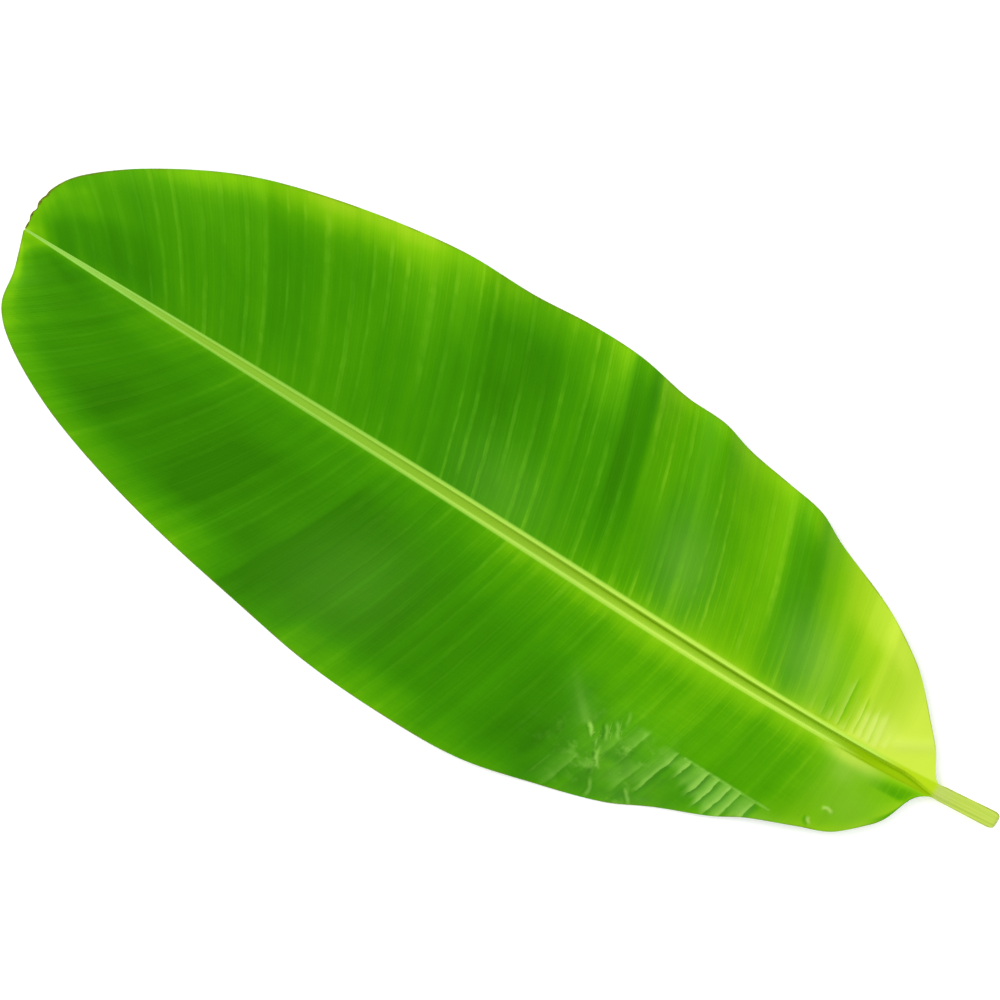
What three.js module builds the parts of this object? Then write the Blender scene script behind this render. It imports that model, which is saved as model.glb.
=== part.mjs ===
// Banana leaf: one cut leaf of a young plant, lying upper face up on a flat surface.
// Millimetres, +Z up. The midrib runs along X, with the cut leaf stalk at -X and the
// tip at +X. The left half, seen from the stalk with the upper face up, is on +Y.
//
// The leaf grew as one piece, so it is one closed solid. It is built row by row from
// the cut end of the stalk to the tip. Each row follows a pair of side veins, one in
// each half of the blade, out from the midrib to the two margins, and returns along
// the underside round the keel of the midrib.

import * as THREE from "three";

// ---- Driving dimensions, mm ----
const BLADE_LENGTH = 900; // along the midrib, from the blade's base to the tip
const STALK_LENGTH = 57.5; // what was left on the leaf when it was cut
const MARGIN_THICKNESS = 0.4; // of the blade at its edge
const INNER_THICKNESS = 0.7; // of the blade where it joins the midrib
const KEEL_FLAT = 3; // width of the strip of the keel that bears on the surface

// The midrib and the stalk, at distances from the blade's base: [distance, value].
const MIDRIB_HALF_WIDTH = [
  [-58, 6.8],
  [0, 6.1],
  [50, 6],
  [120, 6.2],
  [280, 6.9],
  [450, 6.5],
  [600, 5.6],
  [720, 4.2],
  [820, 2.6],
  [900, 0.8],
];
const KEEL_DEPTH = [
  [-58, 11.2],
  [0, 10.5],
  [150, 10.8],
  [350, 9],
  [600, 6],
  [800, 3],
  [900, 1.3],
];
const CHANNEL_DEPTH = [
  [-58, 2.6],
  [0, 4.2],
  [200, 4.2],
  [450, 2.6],
  [650, 1.1],
  [900, 0.2],
];
// Sideways bend of the midrib and stalk, towards the left half of the blade.
const BEND = [
  [-58, -4.6],
  [-30, -2.3],
  [0, 0.4],
  [60, 4.5],
  [170, 6.7],
  [370, 5],
  [560, 2.3],
  [730, 0.7],
  [900, 0],
];

// Guide veins: [where it leaves the midrib, where it meets the margin, how far out].
// Before the blade's base the two halves are narrow wings along the stalk.
const LEFT_VEINS = [
  [-58, -58, 2.9],
  [-8, -8, 6.3],
  [0, 2, 7.4],
  [11, 13, 17],
  [24, 23, 42.5],
  [36, 35, 57],
  [54, 56, 75.5],
  [80, 84, 87],
  [104, 122, 102.5],
  [128, 150, 118],
  [160, 193, 136],
  [189, 231, 154.5],
  [240, 286, 171],
  [307, 357, 187.5],
  [378, 433, 190.2],
  [446, 509, 186],
  [513, 584, 173.5],
  [584, 673, 157],
  [648, 744, 139],
  [706, 806, 117.3],
  [761, 857, 90.5],
  [812, 883, 65],
  [854, 889.5, 34],
  [900, 900.5, 1.4],
];
const RIGHT_VEINS = [
  [-58, -58, 12],
  [-8, -8, 7.5],
  [0, 3, 7.6],
  [11, 16, 28],
  [30, 36, 50.5],
  [51, 61, 76.5],
  [70, 86, 94.5],
  [105, 122, 114.5],
  [136, 174, 135],
  [160, 203, 149],
  [192, 239, 155.5],
  [229, 281, 162],
  [262, 313, 170.5],
  [300, 351, 172.5],
  [353, 403, 181],
  [400, 452, 182],
  [446, 505, 178],
  [513, 576, 177.5],
  [580, 651, 167],
  [648, 726, 149],
  [705, 782, 128.5],
  [765, 841, 96],
  [816, 880, 66],
  [854, 896.5, 44],
  [882, 902.5, 21],
  [900, 900.5, 1.4],
];
const VEIN_SWEEP = 0.3; // share of a vein's lean towards the tip that comes late

// Relief of each half of the blade. Crests are where the tops of its waves leave the
// midrib, each followed by its running count.
const LEFT_RELIEF = {
  arch: 13,
  edge: 5,
  wave: 3,
  crests: [
    [90, -1],
    [299, 0],
    [530, 1],
    [700, 2],
    [900, 3],
  ],
};
const RIGHT_RELIEF = {
  arch: 12,
  edge: 10,
  wave: 6.5,
  crests: [
    [75, -1],
    [162, 0],
    [255, 1],
    [341, 2],
    [488, 3],
    [665, 4],
    [900, 5],
  ],
};
const ARCH_GROWS_BY = 130; // the arch and the waves reach full height this far from the base
const EDGE_GROWS_BY = 140; // and the margins their own height this far
const ARCH_FADES_FROM = 780; // past here they fade, down to the tip
const TIP_FLAT_FROM = 820; // past here the margins come down to the surface
const LEAST_HEIGHT = MARGIN_THICKNESS + 0.05;
// On the left, near the base, the blade bends down past a straight ridge. It grows from
// `from` to `full` and fades from `fades` to `to`, at distances from the blade's base.
const RIDGE = { from: 45, full: 115, fades: 205, to: 265, out: 86, width: 26, rise: 7 };

// Section of the midrib. The lips stand over the blade by LIP_RISE of the half width.
// Channel points: [share of the half width, share of the way up from floor to lip].
// Keel points: [share of the half width, share of the way up to the blade's underside].
const LIP_RISE = 0.12;
const CHANNEL_POINTS = [
  [0.72, 1],
  [0.36, 0.35],
  [0, 0],
  [-0.36, 0.35],
  [-0.72, 1],
];
const KEEL_POINTS = [
  [0.98, 0.7],
  [0.86, 0.38],
  [0.62, 0.14],
];
const FLAT_SHARE = 0.3; // most of the half width that half the keel's flat strip takes
const THICKNESS_SHARE = 0.4; // most of the midrib's depth that the blade's thickness takes

const BLADE_ROWS = 76;
const STALK_ROWS = 5;
const STEPS_OUT = 10; // from the midrib to a margin
const END_CROWDING = 0.35; // how far the rows are drawn together towards base and tip

// ---- Curves through the dimensions ----

// The smooth curve through rows of [x, value, value...], read at x from one column.
function along(rows, x, column = 1) {
  const last = rows.length - 1;
  let i = 0;
  while (i < last - 1 && x > rows[i + 1][0]) i++;
  const slope = (k) => {
    const a = rows[Math.max(k - 1, 0)];
    const b = rows[Math.min(k + 1, last)];
    return (b[column] - a[column]) / (b[0] - a[0]);
  };
  const span = rows[i + 1][0] - rows[i][0];
  const t = THREE.MathUtils.clamp((x - rows[i][0]) / span, 0, 1);
  const t2 = t * t;
  const t3 = t2 * t;
  return (
    rows[i][column] * (2 * t3 - 3 * t2 + 1) +
    rows[i + 1][column] * (3 * t2 - 2 * t3) +
    slope(i) * span * (t3 - 2 * t2 + t) +
    slope(i + 1) * span * (t3 - t2)
  );
}

const rise = (from, to, x) => THREE.MathUtils.smoothstep(x, from, to);

// Height of the blade's upper face over the surface it lies on, at the share v of the
// way out along the vein that leaves the midrib at x, and at the place [px, out].
function bladeHeight(relief, x, v, px, out, side) {
  const joint = along(KEEL_DEPTH, x);
  const full = rise(0, ARCH_GROWS_BY, x) * (1 - rise(ARCH_FADES_FROM, BLADE_LENGTH, x));
  const wave = Math.cos(2 * Math.PI * along(relief.crests, x));
  const edge = joint + (relief.edge - joint) * rise(0, EDGE_GROWS_BY, x);
  const tip = rise(TIP_FLAT_FROM, BLADE_LENGTH, x);
  const margin = edge * (1 - tip) + MARGIN_THICKNESS * tip;
  let height = joint * (1 - v) + margin * v;
  height += relief.arch * full * 4 * v * (1 - v);
  height += relief.wave * wave * full * Math.pow(v, 1.5);
  if (side > 0) {
    const near = rise(RIDGE.from, RIDGE.full, px) * (1 - rise(RIDGE.fades, RIDGE.to, px));
    height += RIDGE.rise * near * Math.exp(-Math.pow((out - RIDGE.out) / RIDGE.width, 2));
  }
  return Math.max(height, LEAST_HEIGHT);
}

// One half of a row of the blade's upper face, from the midrib out: [x, y, z, thickness].
// side is 1 for the left half and -1 for the right.
function halfRow(x, side) {
  const veins = side > 0 ? LEFT_VEINS : RIGHT_VEINS;
  const relief = side > 0 ? LEFT_RELIEF : RIGHT_RELIEF;
  const start = along(BEND, x) + side * along(MIDRIB_HALF_WIDTH, x);
  const end = [along(veins, x, 1), side * along(veins, x, 2)];
  const points = [];
  for (let k = 0; k <= STEPS_OUT; k++) {
    const v = k / STEPS_OUT;
    const px = x + (end[0] - x) * ((1 - VEIN_SWEEP) * v + VEIN_SWEEP * v * v);
    const py = start + (end[1] - start) * v;
    const z = bladeHeight(relief, x, v, px, Math.abs(py), side);
    points.push([px, py, z, INNER_THICKNESS + (MARGIN_THICKNESS - INNER_THICKNESS) * v]);
  }
  return points;
}

// One row as a closed ring: over the left half, the channel and the right half, and
// back under the right half, the keel and the left half.
function leafRing(x) {
  const left = halfRow(x, 1);
  const right = halfRow(x, -1);
  const middle = along(BEND, x);
  const half = along(MIDRIB_HALF_WIDTH, x);
  const joint = along(KEEL_DEPTH, x);
  const lip = joint + LIP_RISE * half;
  const depth = along(CHANNEL_DEPTH, x);
  const flat = Math.min(KEEL_FLAT / 2, FLAT_SHARE * half);
  const under = ([px, py, z, thick]) => [px, py, z - Math.min(thick, THICKNESS_SHARE * joint)];
  const root = under(left[0])[2];
  const channel = ([share, up]) => [x, middle + share * half, lip - depth * (1 - up)];
  const keel = (side) => ([share, up]) => [x, middle + side * share * half, up * root];
  return [
    ...left.toReversed().map((p) => p.slice(0, 3)),
    ...CHANNEL_POINTS.map(channel),
    ...right.map((p) => p.slice(0, 3)),
    ...right.toReversed().map(under),
    ...KEEL_POINTS.map(keel(-1)),
    [x, middle - flat, 0],
    [x, middle + flat, 0],
    ...KEEL_POINTS.toReversed().map(keel(1)),
    ...left.map(under),
  ];
}

// ---- The solid ----

// Quads between neighbouring rings, closed by a flat cap at each end.
function skin(rings) {
  const count = rings[0].length;
  const positions = rings.flat(2);
  const faces = [];
  for (let r = 0; r + 1 < rings.length; r++) {
    for (let i = 0; i < count; i++) {
      const j = (i + 1) % count;
      const a = r * count + i;
      const b = r * count + j;
      const c = a + count;
      const d = b + count;
      faces.push(a, b, c, b, d, c);
    }
  }
  const cap = (ring) => THREE.ShapeUtils.triangulateShape(
    ring.map(([, y, z]) => new THREE.Vector2(y, z)),
    [],
  );
  const end = (rings.length - 1) * count;
  for (const [a, b, c] of cap(rings[0])) faces.push(a, c, b);
  for (const [a, b, c] of cap(rings.at(-1))) faces.push(end + a, end + b, end + c);
  const geometry = new THREE.BufferGeometry();
  geometry.setAttribute("position", new THREE.Float32BufferAttribute(positions, 3));
  geometry.setIndex(faces);
  geometry.computeVertexNormals();
  return geometry;
}

const rings = [];
for (let i = STALK_ROWS; i > 0; i--) {
  rings.push(leafRing((-STALK_LENGTH * i) / STALK_ROWS));
}
for (let i = 0; i <= BLADE_ROWS; i++) {
  const u = i / BLADE_ROWS;
  const crowded = (1 - Math.cos(Math.PI * u)) / 2;
  rings.push(leafRing(BLADE_LENGTH * THREE.MathUtils.lerp(u, crowded, END_CROWDING)));
}
const leaf = skin(rings);

// The origin is the centre of the bottom of the leaf's box.
leaf.computeBoundingBox();
const centre = leaf.boundingBox.getCenter(new THREE.Vector3());
leaf.translate(-centre.x, -centre.y, -leaf.boundingBox.min.z);

const mesh = new THREE.Mesh(
  leaf,
  new THREE.MeshStandardMaterial({ color: 0x4fa012, roughness: 0.45, side: THREE.DoubleSide }),
);
mesh.name = "banana_leaf";

const group = new THREE.Group();
group.name = "banana_leaf_part";
group.add(mesh);
export default group;
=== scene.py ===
"""The looks of the banana leaf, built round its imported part.

The leaf is one closed skin, made of rows from the cut end of the stalk to the tip. A row starts
where a side vein leaves the midrib, s millimetres from the blade's base. In each half it follows
that vein to the margin, at shares v from 0 to 1, and it returns along the underside and round the
keel of the midrib. With e the place where the vein meets the margin, b the bend of the midrib and
w its half width there:

    along the leaf   x = s + (e_x - s) (0.7 v + 0.3 v^2)
    across the leaf  y = b + w + (e_y - b - w) v, and the same with minus signs in the right half
    height           z = joint (1 - v) + edge v + arch 4 v (1 - v) + wave v^1.5

Joint is the height of the midrib's edge, and the wave is highest along the crests, which follow
the veins too. Folds, pleats and creases are added to z, each a smooth hump or step in x and y.
Lengths in this file are in millimetres until the mesh is made, which is in metres.
"""

import math

import bpy
import numpy as np
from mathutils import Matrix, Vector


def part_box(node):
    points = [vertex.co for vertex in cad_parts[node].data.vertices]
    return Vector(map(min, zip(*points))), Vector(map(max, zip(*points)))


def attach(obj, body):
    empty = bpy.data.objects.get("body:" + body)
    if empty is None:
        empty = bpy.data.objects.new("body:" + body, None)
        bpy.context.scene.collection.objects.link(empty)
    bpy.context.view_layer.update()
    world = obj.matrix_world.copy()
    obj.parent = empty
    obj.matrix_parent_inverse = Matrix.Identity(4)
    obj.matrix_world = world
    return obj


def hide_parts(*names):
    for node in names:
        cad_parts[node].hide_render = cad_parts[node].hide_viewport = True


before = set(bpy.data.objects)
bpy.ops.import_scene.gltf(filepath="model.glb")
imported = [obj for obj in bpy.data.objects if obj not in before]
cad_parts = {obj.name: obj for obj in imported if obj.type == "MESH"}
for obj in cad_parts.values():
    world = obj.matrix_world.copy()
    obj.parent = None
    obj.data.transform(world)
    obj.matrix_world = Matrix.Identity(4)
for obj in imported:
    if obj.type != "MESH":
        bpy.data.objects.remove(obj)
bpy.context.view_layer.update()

# ---- Camera: straight above the leaf, far enough away that nothing is foreshortened ----
# The tip points to the upper left of the picture and the stalk to the lower right. Lying slanted
# like this, the leaf just fills the width of the picture.
CAMERA_HEIGHT = 6.0
SENSOR_WIDTH = 36
PICTURE_WIDTH = 0.8408
PICTURE_CENTRE = (0.0169, -0.0199)
PICTURE_TURN = math.radians(211.67)
MIDDLE_OF_LEAF = 0.012
camera_data = bpy.data.cameras.new("camera")
camera_data.type = "PERSP"
camera_data.sensor_width = SENSOR_WIDTH
camera_data.lens = SENSOR_WIDTH * CAMERA_HEIGHT / PICTURE_WIDTH
camera_data.clip_end = 50
camera = bpy.data.objects.new("camera", camera_data)
camera.location = (*PICTURE_CENTRE, CAMERA_HEIGHT + MIDDLE_OF_LEAF)
camera.rotation_euler = (0, 0, PICTURE_TURN)
bpy.context.scene.collection.objects.link(camera)
bpy.context.scene.camera = camera


# ---- Leaf: its shape ----
# A banana leaf is one sheet of soft green tissue on a stiff midrib. The midrib is the stalk's own
# tissue running on to the tip, with a channel above and a round keel below. Veins run from it in
# parallel to the margins, and the blade tends to wave and fold along them.
BLADE_LENGTH = 900
STALK_LENGTH = 57.5
MARGIN_THICKNESS = 0.4
INNER_THICKNESS = 0.7

# Along the midrib: (distance from the blade's base, value). They are half its width, how far its
# edges are above the table, how deep its channel is, and how far it bends to the left.
MIDRIB_HALF_WIDTH = [
    (-58, 4.9), (-56, 6.3), (-53, 6.75), (-30, 6.4), (0, 6.1), (50, 6), (120, 6.2), (280, 6.9),
    (450, 6.3), (521, 5.8), (600, 5.3), (720, 4.1), (820, 2.6), (900, 0.8),
]
KEEL_DEPTH = [
    (-58, 11.2), (0, 10.5), (150, 10.8), (350, 9), (600, 6), (800, 3), (900, 1.3),
]
CHANNEL_DEPTH = [
    (-58, 1.0), (-10, 1.6), (20, 3.4), (200, 4.2), (450, 2.6), (650, 1.1), (900, 0.2),
]
BEND = [
    (-58, -4.6), (-30, -2.3), (0, 0.4), (60, 4.5), (170, 6.7), (270, 6), (395, 3.6), (521, 1.9),
    (650, 1.2), (900, 0),
]

# Guide veins: (where it leaves the midrib, where it meets the margin, how far out).
LEFT_VEINS = [
    (-58, -58, 0.9), (-56, -56, 2.3), (-53, -53, 3.1), (-8, -8, 6.3), (0, 2, 7.4), (11, 13, 17),
    (24, 23, 42.5), (36, 35, 57), (54, 56, 75.5), (80, 84, 87), (104, 122, 102.5),
    (128, 150, 118), (160, 193, 136), (189, 231, 154.5), (240, 286, 171), (307, 357, 187.5),
    (378, 433, 190.2), (446, 509, 186), (513, 584, 173.5), (584, 673, 157), (648, 744, 139),
    (706, 806, 117.3), (761, 857, 90.5), (812, 883, 65), (854, 889.5, 34), (900, 900.5, 1.4),
]
RIGHT_VEINS = [
    (-58, -58, 9.9), (-56, -56, 11.5), (-53, -53, 11.8), (-8, -8, 7.5), (0, 3, 7.6),
    (11, 16, 28), (30, 36, 50.5), (51, 61, 76.5), (70, 86, 94.5), (105, 122, 114.5),
    (136, 174, 135), (160, 203, 149), (192, 239, 155.5), (229, 281, 162), (262, 313, 170.5),
    (300, 351, 172.5), (353, 403, 181), (400, 452, 182), (446, 505, 178), (513, 576, 177.5),
    (580, 651, 167), (648, 726, 149), (705, 782, 128.5), (765, 841, 96), (816, 880, 66),
    (854, 896.5, 44), (882, 902.5, 21), (900, 900.5, 1.4),
]

# How each half lies: how high it arches, how high its margin is, and the height of its waves.
LEFT_LIE = (13, 5, 3)
RIGHT_LIE = (12, 10, 6.5)

# Where the tops of the waves leave the midrib, with their running count.
LEFT_CRESTS = [(90, -1), (299, 0), (530, 1), (700, 2), (900, 3)]
RIGHT_CRESTS = [(75, -1), (162, 0), (255, 1), (341, 2), (488, 3), (665, 4), (900, 5)]


def through(rows, x, column=1):
    """The smooth curve through rows of (x, value, value...), read at x from one column."""
    table = np.array(rows, float)
    knots = table[:, 0]
    values = table[:, column]
    before = np.maximum(np.arange(len(knots)) - 1, 0)
    after = np.minimum(np.arange(len(knots)) + 1, len(knots) - 1)
    slope = (values[after] - values[before]) / (knots[after] - knots[before])
    i = np.clip(np.searchsorted(knots, x, side="left") - 1, 0, len(knots) - 2)
    span = knots[i + 1] - knots[i]
    t = np.clip((x - knots[i]) / span, 0, 1)
    return (
        values[i] * (2 * t**3 - 3 * t**2 + 1)
        + values[i + 1] * (3 * t**2 - 2 * t**3)
        + slope[i] * span * (t**3 - 2 * t**2 + t)
        + slope[i + 1] * span * (t**3 - t**2)
    )


def climb(low, high, x):
    """From 0 at low to 1 at high, smoothly."""
    t = np.clip((x - low) / (high - low), 0, 1)
    return t * t * (3 - 2 * t)


def hump(x, centre, width):
    """A smooth bump of height 1 round centre."""
    return np.exp(-(((x - centre) / width) ** 2))


def window(x, low, high, soft):
    """1 between low and high, fading to 0 over soft on both sides."""
    return climb(low - soft, low + soft, x) * (1 - climb(high - soft, high + soft, x))


def crease_distance(x, y, points):
    """Distance from (x, y) to the broken line through points, below zero to its right, and the
    share of the way along it."""
    best = np.full(x.shape, 1e9)
    share = np.zeros(x.shape)
    for k, ((ax, ay), (bx, by)) in enumerate(zip(points, points[1:])):
        dx = bx - ax
        dy = by - ay
        t = np.clip(((x - ax) * dx + (y - ay) * dy) / (dx * dx + dy * dy), 0, 1)
        turned = np.where(dx * (y - ay) - dy * (x - ax) < 0, -1, 1)
        distance = turned * np.hypot(x - ax - t * dx, y - ay - t * dy)
        nearer = np.abs(distance) < np.abs(best)
        share = np.where(nearer, (k + t) / (len(points) - 1), share)
        best = np.where(nearer, distance, best)
    return best, share


def ripple(x, period, seed):
    """An uneven wave along x: three sines whose periods don't match, from -1 to 1."""
    turn = 2 * math.pi * x / period
    return (
        0.5 * np.sin(turn + seed)
        + 0.3 * np.sin(1.37 * turn + 2.1 * seed)
        + 0.2 * np.sin(2.19 * turn + 3.7 * seed)
    )


def pleat(turns):
    """Pleats: a slow fall and a quick rise in each turn, from 0 to 1."""
    t = np.mod(turns, 1)
    return np.where(t < 0.84, 1 - t / 0.84, (t - 0.84) / 0.16)


# Stations: where each row's veins leave the midrib, closer together where the blade is creased
# and at the tip. Columns: shares of the way out, closer together beside the midrib.
BLADE_ROWS = 402
STALK_ROWS = 32
UPPER_COLUMNS = 65
UNDER_COLUMNS = 27
fine = np.linspace(0, BLADE_LENGTH, 2001)
closeness = 1 + 0.7 * window(fine, 50, 320, 30) + 0.9 * climb(840, 890, fine)
growth = np.concatenate([[0], np.cumsum((closeness[1:] + closeness[:-1]) / 2)])
blade_rows = np.interp(np.linspace(0, growth[-1], BLADE_ROWS), growth, fine)
stalk_rows = np.linspace(-STALK_LENGTH, 0, STALK_ROWS + 1)[:-1]
s = np.concatenate([stalk_rows, blade_rows])[:, None]

steps = np.linspace(0, 1, UPPER_COLUMNS)[None, :]
upper_share = 0.55 * steps + 0.45 * steps**1.6
steps = np.linspace(0, 1, UNDER_COLUMNS)[None, :]
under_share = 0.6 * steps + 0.4 * steps**1.5

half_width = through(MIDRIB_HALF_WIDTH, s)
joint = through(KEEL_DEPTH, s)
middle = through(BEND, s)
channel = through(CHANNEL_DEPTH, s)


def half_blade(v, side):
    """One half of the blade at shares v of the way out: a dictionary of arrays, rows by shares."""
    veins = LEFT_VEINS if side > 0 else RIGHT_VEINS
    crests = LEFT_CRESTS if side > 0 else RIGHT_CRESTS
    arch, low_edge, wave_height = LEFT_LIE if side > 0 else RIGHT_LIE
    start = middle + side * half_width
    end_x = through(veins, s, 1)
    end_y = side * through(veins, s, 2)
    x = s + (end_x - s) * (0.7 * v + 0.3 * v * v)
    y = start + (end_y - start) * v
    out = np.abs(y)
    vein_length = np.hypot(end_x - s, end_y - start)

    # The waves: peaked along their crests and round in their valleys.
    count = through(crests, s)
    round_wave = np.cos(2 * math.pi * count)
    peak = np.sqrt(np.sin(math.pi * count) ** 2 + 0.02)
    peaked_wave = 1 - 2 * (peak - 0.14) / 0.87
    wave = 0.45 * round_wave + 0.55 * peaked_wave

    full = climb(0, 130, s) * (1 - climb(780, 900, s))
    edge = joint + (low_edge - joint) * climb(0, 140, s)
    tip = climb(820, 900, s)
    z = joint * (1 - v) + (edge * (1 - tip) + MARGIN_THICKNESS * tip) * v
    z = z + arch * full * 4 * v * (1 - v)
    z = z + wave_height * wave * full * v**1.5
    thickness = INNER_THICKNESS + (MARGIN_THICKNESS - INNER_THICKNESS) * v

    # Broad unevenness along the veins, and the low ridges of the main veins themselves.
    body = climb(0, 0.12, v) * (1 - climb(860, 900, s)) * climb(5, 60, s)
    z = z + 0.5 * ripple(s, 46, 1.3 if side > 0 else 4.1) * body * v
    z = z + 0.16 * ripple(s, 17, 0.4 if side > 0 else 2.6) * body * (1 - 0.5 * v)
    return {
        "x": x, "y": y, "z": z, "out": out, "v": v + 0 * s, "s": s + 0 * v,
        "thickness": thickness + 0 * s, "length": vein_length + 0 * v,
        "half": half_width + 0 * v,
    }


# The pleats: (where a pleat's edge leaves the midrib, from and to how far out it shows, how pale
# the face behind the edge is painted as sheen, how dark the edge is painted as shade).
LEFT_PLEATS = [
    (96, 90, 100, 0, 0), (108.3, 88, 108, 0.8, 0.8), (123.3, 87, 117, 1, 0.7),
    (132.3, 87, 116, 1, 0.8), (142.5, 87, 112, 0.95, 0.9), (152, 87, 106, 0.8, 1),
    (168.5, 87, 98, 0.75, 0.9), (181, 86, 126, 0.45, 0.9), (194.5, 112, 138, 0.3, 0.25),
    (211, 84, 106, 0.45, 0.35), (224, 100, 120, 0.2, 0.1), (238, 132, 166, 0.2, 0.25),
    (256, 90, 100, 0, 0),
]
RIGHT_PLEATS = [
    (40, 6, 12, 0, 0), (53, 7, 14, 0.8, 0.35), (61, 3, 30, 0.95, 0.1), (69, 3, 27, 0.95, 0.7),
    (76.5, 3, 25, 0.85, 0.3), (84, 3, 30, 0.3, 0.6), (91.5, 2, 8, 0.5, 0.3),
    (99, 3, 40, 0.3, 0.58), (107, 3, 12, 0.25, 0.25), (115, 3, 16, 0.1, 0.3),
    (124, 3, 12, 0.1, 0.2), (133, 6, 12, 0, 0),
]


def pleated(p, table):
    """Adds to one half the running count of its pleats, how pale their faces are painted as sheen
    and how dark their edges are painted as shade."""
    pleats = np.array(table, float)
    edges = pleats[:, 0]
    p["pleat_turns"] = np.interp(p["s"], edges, np.arange(len(edges)))
    p["pleats"] = 0 * p["s"]
    p["pleat_edge"] = 0 * p["s"]
    at = p["s"]
    out = p["out"]
    for (edge, start, end, pale, dark), after in zip(pleats[:-1], edges[1:]):
        face = climb(edge - 0.8, edge + 0.8, at) * (1 - climb(after - 0.8, after + 0.8, at))
        wavy_end = end + 2.5 * ripple(at, 9, 1.7)
        shown = climb(start - 1, start + 2, out) * (1 - climb(wavy_end - 5, wavy_end + 5, out))
        line = climb(start - 1, start + 3, out) * (1 - climb(end, end + 12, out))
        p["pleats"] = p["pleats"] + pale * face * shown
        p["pleat_edge"] = p["pleat_edge"] + dark * window(at, edge - 6, edge + 4, 1) * line


# Short creases of the left half, from the inside out: (points, how pale the base's side is painted
# as a highlight, how dark the tip's side is painted as shade).
CREASES = [
    ([(253, 77), (249.5, 92)], 0.35, 0.1),
    ([(259.5, 90), (255, 97), (250.5, 105)], 0.6, 0.2),
    ([(265, 96), (262, 103), (258, 112)], 0.6, 0.8),
    ([(280, 102.5), (274, 108), (269, 114.5)], 1.2, 0.3),
    ([(267, 111), (264, 115), (261, 121)], 0.6, 0.3),
    ([(260.5, 113), (259.5, 123), (255, 129), (251, 135)], 0.75, 0.7),
    ([(256, 133), (254.5, 138), (254.5, 143)], 0.1, 0.6),
    ([(254, 141), (249, 151), (249.5, 161)], 0.5, 0.2),
    ([(292, 112), (293.5, 121), (296, 130)], 0, 0.35),
    ([(225, 135), (219, 140), (211, 148)], 0.7, 0.1),
    ([(74, 63.5), (69, 61), (63, 63.5)], 1.3, 0),
    ([(80, 73.5), (79.5, 78), (75, 81)], 0.9, 0.5),
]


# The distance written where a fold or a crease is nowhere near.
FAR_OFF = 99

# How far out the straight fold and the light along it run, and where a low blister is.
FOLD_OUT = 86
FOLD_LIGHT_OUT = 87.2
BLISTER_X = 72
BLISTER_OUT = 70

# A soft swelling of the left half, and the slanting fold at the base of the right half.
LEFT_SWELLING = [(330, 52), (312, 70), (299, 85), (287, 97), (278, 105)]
RIGHT_FOLD = [(58, 13), (44, 18), (31, 25), (19, 32), (6, 39)]


def left_folds(p):
    """What the left half has of its own: the straight fold near the base, pleats and creases."""
    x = p["x"]
    out = p["out"]
    z = p["z"]
    near = climb(45, 115, x) * (1 - climb(205, 265, x))
    fold = np.where(out < FOLD_OUT, hump(out, FOLD_OUT, 26), hump(out, FOLD_OUT, 17))
    z = z + 7 * near * fold
    pleated(p, LEFT_PLEATS)
    z = z + 0.7 * np.maximum(p["pleats"], 0.6 * p["pleat_edge"]) * pleat(p["pleat_turns"])
    p["ridge"] = np.abs(out - FOLD_LIGHT_OUT) + 40 * (1 - window(x, 104, 200, 6))
    # The short creases: each vertex takes the nearest one.
    p["crease"] = FAR_OFF + 0 * x
    p["crease_light"] = 0 * x
    p["crease_dark"] = 0 * x
    for points, light, dark in CREASES:
        distance, share = crease_distance(x, out, points)
        ends = climb(0, 0.3, share) * (1 - climb(0.7, 1, share)) * (np.abs(distance) < 4.5)
        nearer = np.abs(distance) < np.abs(p["crease"])
        p["crease"] = np.where(nearer, distance, p["crease"])
        p["crease_light"] = np.where(nearer, light * ends, p["crease_light"])
        p["crease_dark"] = np.where(nearer, dark * ends, p["crease_dark"])
        z = z + 0.7 * (light - 0.5 * dark) * ends * hump(distance, 0.8, 3)
    # The soft swelling ends at the brightest of them.
    p["slant"], share = crease_distance(x, out, LEFT_SWELLING)
    p["slanting"] = climb(0.1, 0.9, share) * (1 - climb(0.96, 1, share))
    z = z + 0.8 * hump(p["slant"], 0, 6) * p["slanting"]
    # Round the creases the blade is crumpled.
    p["crumple"] = hump(x, 250, 42) * hump(out, 122, 34)
    p["crumple"] = p["crumple"] + 0.5 * hump(x, 214, 24) * hump(out, 132, 25)
    z = z + 0.8 * p["crumple"] * (ripple(x + 0.6 * out, 31, 2) + ripple(out - 0.4 * x, 24, 1))
    # The blister has a flat top.
    z = z + 0.7 * (1 - climb(3, 9, np.hypot(x - BLISTER_X, out - BLISTER_OUT)))
    # The blade dips beside the midrib before it meets the stalk.
    z = z - 2.6 * hump(x, 30, 22) * hump(out, 24, 9)
    z = z + 1.4 * hump(x, 72, 24) * hump(out, 17, 7)
    p["z"] = z


def right_folds(p):
    """What the right half has of its own: the short pleats and the slanting fold at its base."""
    x = p["x"]
    out = p["out"]
    pleated(p, RIGHT_PLEATS)
    relief = np.maximum(p["pleats"], 0.8 * p["pleat_edge"]) * pleat(p["pleat_turns"])
    p["slant"], share = crease_distance(x, out, RIGHT_FOLD)
    p["slanting"] = window(share, 0.12, 0.95, 0.15)
    p["z"] = p["z"] + 0.5 * relief + 1.6 * hump(p["slant"], 0, 5.5) * p["slanting"]
    for name in ("ridge", "crease"):
        p[name] = FAR_OFF + 0 * x
    for name in ("crease_light", "crease_dark", "crumple"):
        p[name] = 0 * x
    # The margin beside the tip is ragged where it dried and broke.
    ragged = climb(0.86, 1, p["v"]) * window(out, 3, 44, 3) * climb(856, 870, p["s"])
    bite = 2.3 * hump(out, 20, 3.2) + 1.1 * hump(out, 8, 2.2) + 0.9 * hump(out, 34, 2.4)
    bite = bite + 0.35 * ripple(out, 3.4, 0.9)
    p["x"] = x - bite * ragged


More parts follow.
